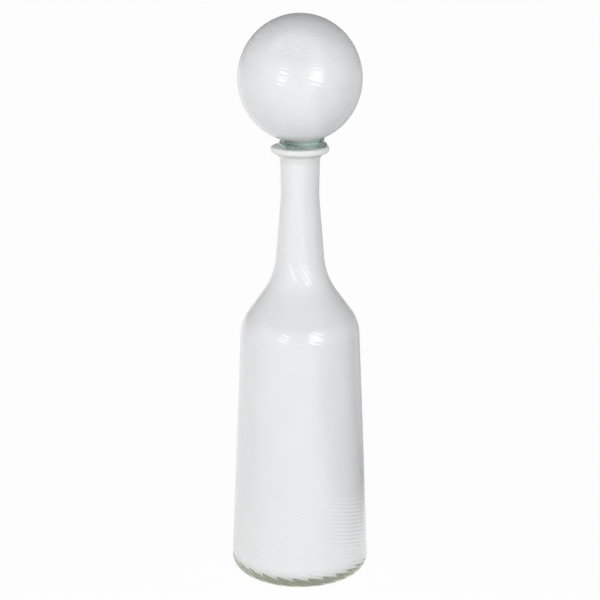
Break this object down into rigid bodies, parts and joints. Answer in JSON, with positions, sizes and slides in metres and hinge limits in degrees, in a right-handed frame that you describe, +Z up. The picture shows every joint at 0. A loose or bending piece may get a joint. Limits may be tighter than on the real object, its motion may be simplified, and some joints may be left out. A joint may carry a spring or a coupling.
{
  "type": "ball stopper bottle",
  "caption": "Tall cased-glass bottle with a tapering body, slim neck, flared lip and a hollow glass ball stopper that lifts out.",
  "frame": {"origin": "centre of the foot ring, on the surface that the bottle stands on", "axes": "+Z up along the bottle's axis, from the foot to the top of the ball; every piece is turned about Z"},
  "size_m": [0.133, 0.133, 0.5396],
  "materials": {
    "casing_glass": "clear, faintly green, glossy",
    "lining_glass": "opaque white opal glass",
    "lip_glass": "opaque white, fire polished",
    "globe_glass": "clear, glossy",
    "globe_lining_glass": "opaque white opal glass",
    "collar_glass": "clear green, glossy",
    "peg_glass": "clear green, lightly ground"
  },
  "bodies": {
    "bottle": {"bottle_casing": "casing_glass", "neck_casing": "casing_glass", "bottle_lining": "lining_glass", "lip_ring": "lip_glass"},
    "stopper": {"stopper_globe": "globe_glass", "globe_lining": "globe_lining_glass", "stopper_collar": "collar_glass", "stopper_peg": "peg_glass"}
  },
  "joints": [
    {"name": "stopper_lift", "type": "slide", "parent": "bottle", "child": "stopper", "axis": [0, 0, 1], "range_m": [0, 0.09]}
  ]
}
